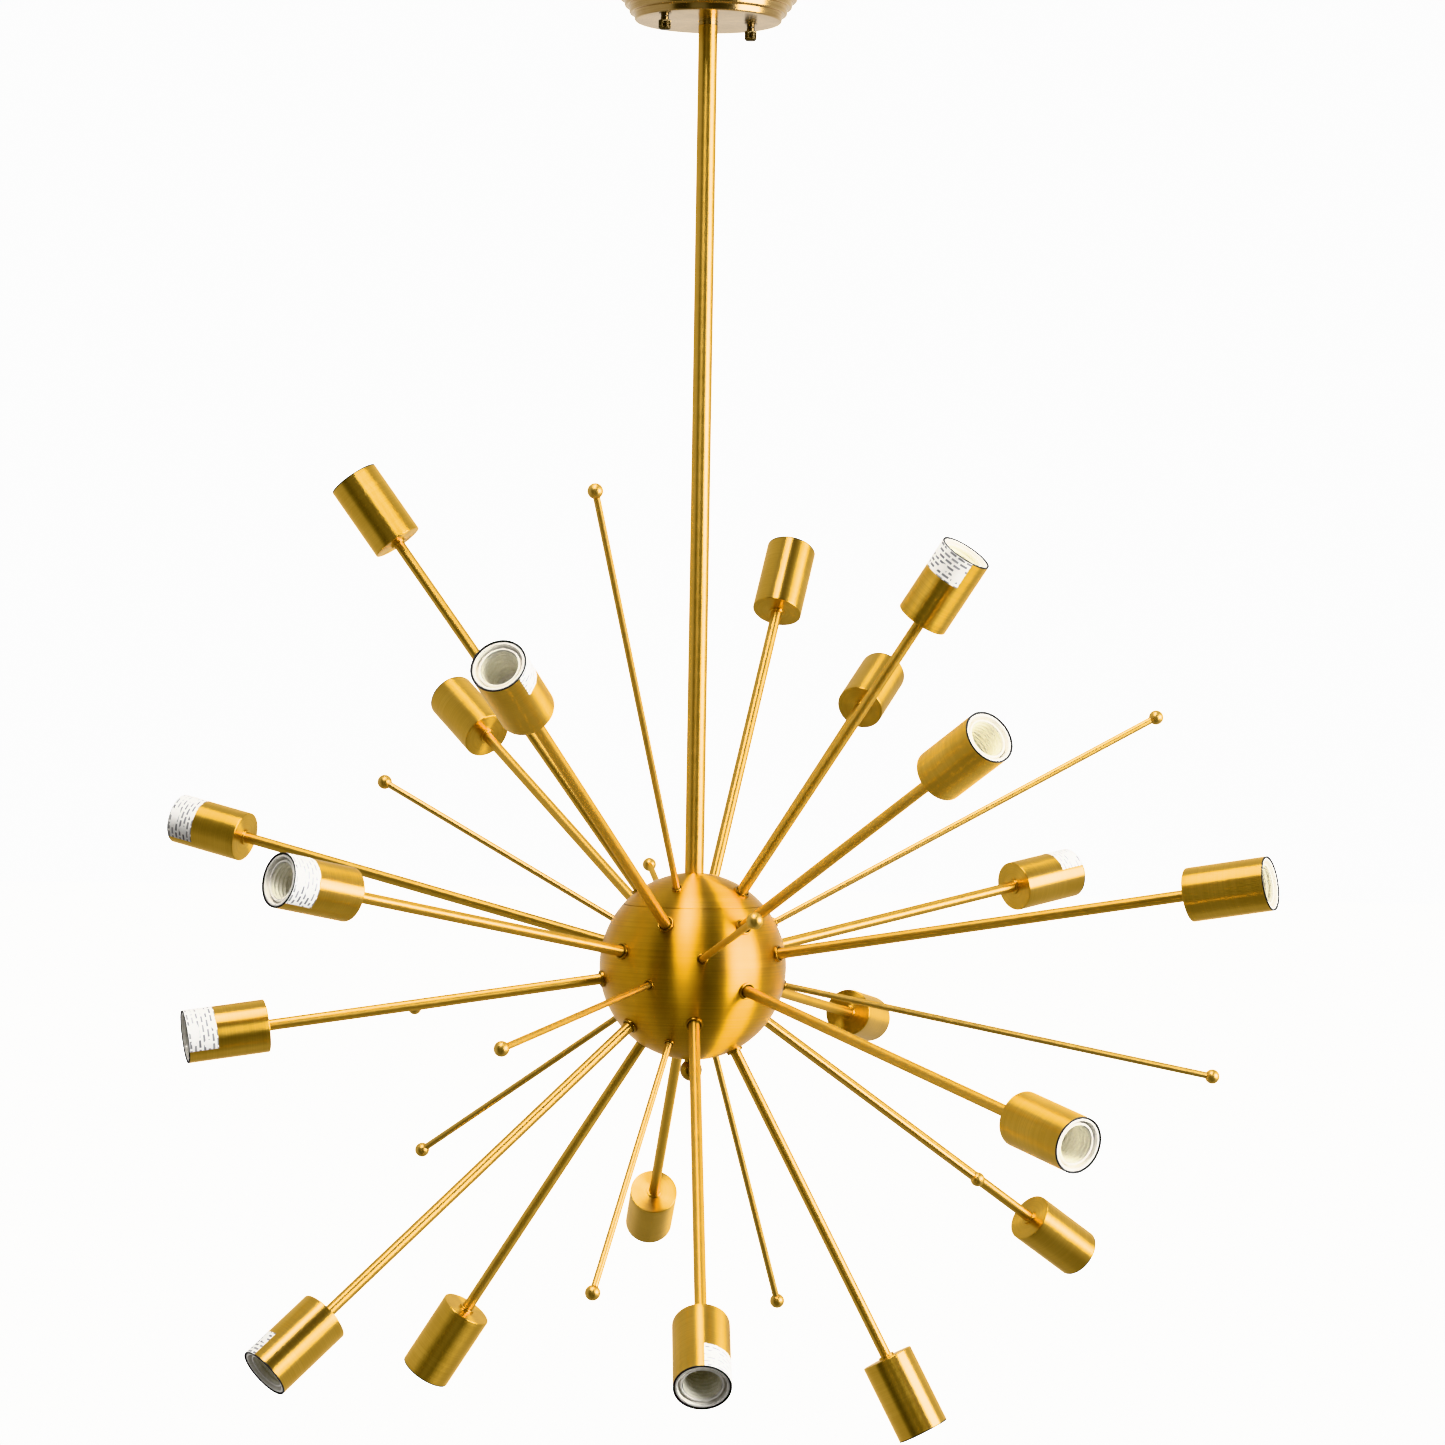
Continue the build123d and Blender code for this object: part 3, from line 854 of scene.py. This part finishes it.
# ---------------------------------------------------------------------------- hub and accent rods
@dataclass
class Hub:
    """The ball with its seam, the lock rings, the finial and the accent rods."""

    finishes: Finishes
    arm_radius: float = 4.5
    rod_radius: float = 2.75
    ball_radius: float = 6.0
    rod_root: float = 68.0
    hub_radius: float = 76.0
    hub_wall: float = 1.5
    seam: float = 50.0              # height of the joint between bowl and cap
    seam_gap: float = 0.4
    ring_sink: float = 1.2          # how far the lock rings reach into the ball
    groove_floor: float = 1.6

    def accent_places(self) -> list[tuple[Placement, float]]:
        """Finds each accent ball's middle from the CAD balls' points, taken in groups.

        Returns:
            The placement of each rod, from the hub's middle, and how far its ball's middle is.
        """
        node = frame["nodes"]["accent_balls"]
        points = np.zeros(len(node.data.vertices) * 3)
        node.data.vertices.foreach_get("co", points)
        points = points.reshape(-1, 3)
        hub = hub_centre()
        places = []
        while len(points):
            near = np.linalg.norm(points - points[0], axis=1) < 2.1 * self.ball_radius * MM
            group = points[near]
            middle = (group.min(axis=0) + group.max(axis=0)) / 2
            reach = float(np.linalg.norm(middle - hub))
            places.append((Placement(hub, (middle - hub) / reach), reach))
            points = points[~near]
        return places

    def accents(self, places: Sequence[tuple[Placement, float]]) -> None:
        """Builds the accent rods and their balls.

        Args:
            places: Placement of each rod and the distance of its ball's middle.
        """
        rods, balls = [], []
        for place, reach in places:
            top = reach / MM
            bar = rounded_outline([
                (0, self.rod_root, 0), (self.rod_radius, self.rod_root, 0.3),
                (self.rod_radius, top, 0.3), (0, top, 0),
            ])
            rods.append(MeshData.turned(subdivided(bar, 12 * MM), place, 24))
            angle = np.linspace(math.pi, 0, 25)
            circle = self.ball_radius * np.column_stack([np.sin(angle), np.cos(angle)]) + (0, top)
            balls.append(MeshData.turned(circle * MM, place, 32))
        fine_rods = MeshData.joined(rods).piece("fine_rods", self.finishes.rod)
        fit(fine_rods, FIXTURE, "polished_brass", "accent_rods")
        tip_balls = MeshData.joined(balls).piece("rod_tip_balls", self.finishes.rod)
        fit(tip_balls, FIXTURE, "polished_brass", "accent_balls")

    def rings(self, arms: Sequence[Placement], rods: Sequence[Placement]) -> None:
        """Builds the lock rings where the arms and rods leave the ball.

        Args:
            arms: Placement of each lamp arm, from the hub's middle.
            rods: Placement of each accent rod, from the hub's middle.
        """
        lips, grooves = [], []
        for places, tube, band, height in (
            (arms, self.arm_radius, 2.3, 1.9),
            (rods, self.rod_radius, 1.6, 1.5),
        ):
            foot, top = self.hub_radius - self.ring_sink, self.hub_radius + height
            groove, bore = tube + 0.4 * band, tube + 0.1
            lip = close(rounded_outline([
                (groove, foot, 0), (tube + band, foot, 0), (tube + band, top, 0.35 * band),
                (groove, top, 0.2 * band), (groove, foot, 0),
            ], steps=4))
            floor = close(rounded_outline([
                (bore, foot, 0), (groove, foot, 0),
                (groove, foot + self.groove_floor, 0), (bore, foot + self.groove_floor, 0),
            ]))
            lips.extend(MeshData.turned(lip, place, 40) for place in places)
            grooves.extend(MeshData.turned(floor, place, 32) for place in places)
        # The groove floors take the nearly black painted shade finish, where the gap round each
        # tube would fall in shadow.
        ring_grooves = MeshData.joined(grooves).piece("ring_grooves", self.finishes.groove)
        fit(ring_grooves, FIXTURE, "turned_brass", "hub_collars")
        lock_rings = MeshData.joined(lips).piece("lock_rings", self.finishes.turned)
        fit(lock_rings, FIXTURE, "turned_brass", "hub_collars")

    def ball(self) -> None:
        """Builds the bowl and the cap as shells on one sphere, with a fine gap between them."""
        hub = Placement(hub_centre(), UPRIGHT.axis)
        pole = math.asin(HUB_POLE_HOLE / self.hub_radius)

        def shell(start: float, end: float) -> Array:
            """Gives the closed outline of a spherical shell between two elevations."""
            angle = np.linspace(start, end, 60)
            arc = np.column_stack([np.cos(angle), np.sin(angle)])
            outer, inner = arc * self.hub_radius, arc * (self.hub_radius - self.hub_wall)
            return close(np.vstack([outer, inner[::-1]]) * MM)

        low_edge = math.asin((self.seam - self.seam_gap / 2) / self.hub_radius)
        high_edge = math.asin((self.seam + self.seam_gap / 2) / self.hub_radius)
        bowl = MeshData.turned(shell(-math.pi / 2 + pole, low_edge), hub, 128)
        cap = MeshData.turned(shell(high_edge, math.pi / 2 - pole), hub, 128)
        fit(bowl.piece("spun_bowl", self.finishes.ball), FIXTURE, "spun_brass", "hub_bowl")
        fit(cap.piece("spun_cap", self.finishes.ball), FIXTURE, "spun_brass", "hub_cap")

    def finial(self) -> None:
        """Builds the ball nut under the hub."""
        low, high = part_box("bottom_finial")
        radius = (high.x - low.x) / 2
        middle = low.z + radius
        angle = np.linspace(-math.pi / 2, math.pi * 0.28, 28)
        ball = np.column_stack([radius * np.cos(angle), middle + radius * np.sin(angle)])
        neck_radius = 0.62 * radius
        neck = np.array([[neck_radius, high.z - 0.6 * MM], [neck_radius, high.z], [0, high.z]])
        data = MeshData.turned(np.vstack([ball, neck]), UPRIGHT, 56)
        piece = data.piece("ball_nut", self.finishes.turned)
        fit(piece, FIXTURE, "turned_brass", "bottom_finial")

    def make(self, arms: Sequence[Placement]) -> None:
        """Builds the hub's pieces.

        Args:
            arms: Placement of each lamp arm.
        """
        accents = self.accent_places()
        hub = hub_centre()
        self.ball()
        self.accents(accents)
        self.rings([Placement(hub, place.axis) for place in arms], [place for place, _ in accents])
        self.finial()
        dress(self.finishes.zinc, "hub_rod", "lock_nuts")
        dress(self.finishes.sleeve, "internal_leads")


# ---------------------------------------------------------------------------- stem and canopy
@dataclass
class Ceiling:
    """Stem tube, top fitting, canopy, thumb knobs and crossbar."""

    finishes: Finishes
    stem_wall: float = 1.2
    face_radius: float = 60.0
    tiers: int = 4
    knurls: int = 36
    knurl_depth: float = 0.22       # half the depth, from crest to the middle of the wave
    knob_neck: float = 3.0
    knob_neck_radius: float = 3.2
    canopy_wall: float = 1.0
    canopy_hole: float = 8.2
    canopy_rim: float = 4.5         # straight part of the rim, under the ceiling

    def stem(self) -> None:
        """Builds the stem tube."""
        low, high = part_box("stem_tube")
        radius = (high.x - low.x) / 2 / MM
        outline = close(rounded_outline([
            (radius - self.stem_wall, low.z / MM, 0), (radius, low.z / MM, 0.2),
            (radius, high.z / MM, 0.3), (radius - self.stem_wall, high.z / MM, 0),
        ]))
        data = MeshData.turned(subdivided(outline, 20 * MM), UPRIGHT, 56)
        piece = data.piece("long_stem", self.finishes.arm)
        fit(piece, FIXTURE, "brushed_brass", "stem_tube")

    def canopy(self) -> None:
        """Builds the canopy: flat face, rounded stepped beads and a straight rim."""
        low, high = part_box("canopy")
        rim = (high.x - low.x) / 2 / MM
        foot, wall, hole = low.z / MM, self.canopy_wall, self.canopy_hole
        run = (rim - self.face_radius) / self.tiers
        rise = (-foot - self.canopy_rim) / self.tiers
        corners = [(hole, foot, 0), (self.face_radius - 0.4, foot, 1.4)]
        for tier in range(self.tiers):
            radius, level = self.face_radius + tier * run, foot + tier * rise
            corners.append((radius + 0.8, level + rise, 0.8))
            corners.append((radius + run, level + rise, 1.4))
        corners.append((rim, 0, 0))
        outside = rounded_outline(corners)
        inside = outside[::-1] + np.array([-wall, wall]) * MM
        inside[0] = (rim - wall) * MM, 0.0
        inside[-1] = hole * MM, (foot + wall) * MM
        outline = close(np.vstack([outside, inside]))
        data = MeshData.turned(subdivided(outline, 8 * MM), UPRIGHT, 144)
        piece = data.piece("stepped_canopy", self.finishes.antique)
        fit(piece, "canopy", "antique_brass", "canopy")

    def knob(self, node: str, body: str, name: str) -> None:
        """Builds a thumb knob: a smooth neck and crown, and a barrel with straight knurls.

        The barrel's radius dips by a rounded wave as often as there are knurls.

        Args:
            node: CAD node that it replaces.
            body: CAD body that it moves with.
            name: Name of the piece.
        """
        low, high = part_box(node)
        middle = np.array([(low.x + high.x) / 2, (low.y + high.y) / 2, 0.0])
        radius = (high.x - low.x) / 2 / MM
        foot, top = low.z / MM, high.z / MM
        shoulder = top - self.knob_neck
        outline = rounded_outline([
            (0, foot, 0), (radius - 1.2, foot + 0.1, 0.8), (radius, foot + 1.6, 0.5),
            (radius, shoulder, 0.5), (self.knob_neck_radius, shoulder, 0.3),
            (self.knob_neck_radius, top, 0.3), (0, top, 0),
        ])

        def knurl(angle: Array, height: Array) -> Array:
            """Gives the change of radius, which fades out at both ends of the barrel."""
            level = height / MM
            from_end = np.minimum(level - foot - 1.5, shoulder - 0.4 - level)
            grip = np.clip(from_end / 0.5, 0, 1)
            return -self.knurl_depth * MM * grip * (1 + np.cos(self.knurls * angle))

        data = MeshData.turned(subdivided(outline, 0.8 * MM), Placement(middle, UPRIGHT.axis),
                               self.knurls * 5, knurl)
        fit(data.piece(name, self.finishes.bronze), body, "dark_bronze", node)

    def make(self) -> None:
        """Builds the stem and the ceiling pieces."""
        self.stem()
        self.canopy()
        self.knob("canopy_knob_left", "knob_left", "knurled_knob_left")
        self.knob("canopy_knob_right", "knob_right", "knurled_knob_right")
        dress(self.finishes.plated, "stem_top_fitting")
        dress(self.finishes.zinc, "ceiling_crossbar", "crossbar_studs", "crossbar_lock_nuts")


# ---------------------------------------------------------------------------- studio
@dataclass
class Studio:
    """Camera, pale floor and backdrop, and the soft lights round the hub."""

    lens_focal: float = 96.24
    sensor: float = 36.0
    distance: float = 3.14
    side: float = 0.0203
    above_hub: float = 0.2388
    roll_deg: float = 0.937
    shift_up: float = -0.0345
    floor_drop: float = 1.8         # below the lowest piece, as in a room
    white: float = 3.2              # glow of floor and backdrop, which only the camera sees
    room_strength: float = 0.94
    floor_radius: float = 40.0
    backdrop_radius: float = 45.0

    def camera(self) -> None:
        """Stands the camera level in front of the hub, a little above it."""
        hub = hub_centre()
        data = bpy.data.cameras.new("studio_camera")
        data.lens = self.lens_focal
        data.sensor_width = self.sensor
        data.shift_y = self.shift_up
        data.clip_end = 200.0
        camera = bpy.data.objects.new("studio_camera", data)
        bpy.context.scene.collection.objects.link(camera)
        level = Matrix.Rotation(math.radians(90), 4, "X")
        roll = Matrix.Rotation(math.radians(self.roll_deg), 4, "Z")
        stand = Matrix.Translation((self.side, -self.distance, hub[2] + self.above_hub))
        camera.matrix_world = stand @ level @ roll
        bpy.context.scene.camera = camera

    def softbox(self, name: str, bearing_deg: float, lift_deg: float, distance: float,
                width: float, height: float, power: float, colour: str) -> None:
        """Stands a soft light round the hub and points it at the middle.

        Args:
            name: Name of the light.
            bearing_deg: Angle from the camera's side, positive to the right.
            lift_deg: Angle above the hub.
            distance: Distance from the hub, in metres.
            width: Width in metres.
            height: Height in metres.
            power: Power in watts.
            colour: sRGB colour.
        """
        light = bpy.data.lights.new(name, "AREA")
        light.shape = "RECTANGLE"
        light.size = width
        light.size_y = height
        light.energy = power
        light.color = linear(colour)[:3]
        bearing, lift = math.radians(bearing_deg), math.radians(lift_deg)
        away = Vector((math.sin(bearing) * math.cos(lift), -math.cos(bearing) * math.cos(lift),
                       math.sin(lift)))
        stand = Matrix.Translation(Vector(hub_centre()) + away * distance)
        lamp = bpy.data.objects.new(name, light)
        lamp.matrix_world = stand @ away.to_track_quat("Z", "Y").to_matrix().to_4x4()
        bpy.context.scene.collection.objects.link(lamp)

    def surroundings(self) -> None:
        """Makes the room's soft light.

        One ramp gives the brightness round the compass. Two more take over towards the
        ceiling and towards the floor.
        """
        world = bpy.data.worlds.new("soft_room")
        bpy.context.scene.world = world
        world.use_nodes = True
        tree = world.node_tree
        tree.nodes.clear()
        way = put(tree, "ShaderNodeTexCoord").outputs["Generated"]
        parts = put(tree, "ShaderNodeSeparateXYZ", {0: way}).outputs
        front = put(tree, "ShaderNodeMath", {0: parts["Y"], 1: -1.0},
                    operation="MULTIPLY").outputs[0]
        bearing = put(tree, "ShaderNodeMath", {0: parts["X"], 1: front},
                      operation="ARCTAN2").outputs[0]
        share = put(tree, "ShaderNodeMapRange", {
            "Value": bearing, "From Min": -math.pi, "From Max": math.pi,
        }).outputs[0]

        def around(*levels: tuple[float, float]) -> bpy.types.NodeSocket:
            """Adds a ramp round the compass, from bearings in degrees and warm grey levels."""
            return put(tree, "ShaderNodeValToRGB", {"Fac": share}, stops=[
                ((degrees + 180) / 360, (level, 0.985 * level, 0.95 * level, 1.0))
                for degrees, level in levels
            ]).outputs["Color"]

        def beyond(start: float, end: float) -> bpy.types.NodeSocket:
            """Adds an eased step over the sine of the elevation."""
            return put(tree, "ShaderNodeMapRange", {
                "Value": parts["Z"], "From Min": start, "From Max": end,
            }, interpolation_type="SMOOTHSTEP").outputs[0]

        def blend(factor: bpy.types.NodeSocket, first: bpy.types.NodeSocket,
                  second: bpy.types.NodeSocket) -> bpy.types.NodeSocket:
            """Mixes two colours; a colour mix has them at inputs 6 and 7."""
            return put(tree, "ShaderNodeMix", {"Factor": factor, 6: first, 7: second},
                       data_type="RGBA").outputs[2]

        compass = around(
            (-180, 1.0), (-150, 0.9), (-120, 0.75), (-60, 0.6), (-54, 0.04), (-30, 0.04),
            (-25, 0.3), (-5, 0.3), (0, 0.05), (45, 0.05), (50, 0.7), (90, 0.7), (128, 0.85),
            (146, 1.1), (180, 1.0),
        )
        zenith = around(
            (-180, 0.7), (-60, 0.75), (-20, 0.6), (5, 0.2), (45, 0.2), (65, 0.5), (180, 0.7),
        )
        nadir = around(
            (-180, 0.5), (-62, 0.42), (-45, 0.2), (45, 0.2), (65, 0.5), (120, 0.6), (180, 0.5),
        )
        light = blend(beyond(-0.4, -0.8), blend(beyond(0.7, 0.95), compass, zenith), nadir)
        background = put(tree, "ShaderNodeBackground", {
            "Color": light, "Strength": self.room_strength,
        }).outputs[0]
        put(tree, "ShaderNodeOutputWorld", {"Surface": background})

    def sweep(self) -> None:
        """Makes the white sweep: a pale floor and a far backdrop that only the camera sees."""
        white = (1.0, 1.0, 1.0, 1.0)
        floor_material = Dielectric("pale_floor_paper", "#FBFAF8", "#F7F6F3", 0.9,
                                    grain_mm=40).build()
        nodes = floor_material.node_tree.nodes
        shader = next(node for node in nodes if node.type == "BSDF_PRINCIPLED")
        shader.inputs["Emission Color"].default_value = white
        shader.inputs["Emission Strength"].default_value = self.white
        backdrop_material = bpy.data.materials.new("white_backdrop")
        tree = empty_tree(backdrop_material)
        glow = put(tree, "ShaderNodeEmission", {"Color": white, "Strength": self.white}).outputs[0]
        put(tree, "ShaderNodeOutputMaterial", {"Surface": glow})
        drop = CAD_BOX[0][2] - self.floor_drop
        disc = MeshData.turned(np.array([[0.0, drop], [self.floor_radius, drop]]), UPRIGHT, 64)
        floor = disc.piece("pale_floor", floor_material)
        angle = np.linspace(-math.pi / 2, math.pi / 2, 24)
        half_circle = self.backdrop_radius * np.column_stack([np.cos(angle), np.sin(angle)])
        dome = MeshData.turned(half_circle, UPRIGHT, 48)
        backdrop = dome.piece("white_backdrop", backdrop_material)
        for stage in (floor, backdrop):
            stage.visible_diffuse = False
            stage.visible_glossy = False
            stage.visible_transmission = False
        backdrop.visible_shadow = False

    def make(self) -> None:
        """Builds the studio."""
        self.camera()
        self.surroundings()
        self.sweep()
        self.softbox("key_right", 67, 11, 2.5, 1.75, 1.35, 145, "#FFFFFF")
        self.softbox("top_front_left", -15, 66, 2.5, 0.7, 2.0, 74, "#FFFDFA")
        view = bpy.context.scene.view_settings
        view.view_transform = "Khronos PBR Neutral"
        view.look = "None"


def main() -> None:
    """Builds the chandelier's looks and the studio, in order."""
    logging.basicConfig(level=logging.INFO, format="%(name)s: %(message)s")
    finishes = Finishes()
    arms = LampArms(finishes)
    arms.make()
    Hub(finishes).make([place for place, _ in arms.places().values()])
    Ceiling(finishes).make()
    Studio().make()


if __name__ == "__main__":
    main()
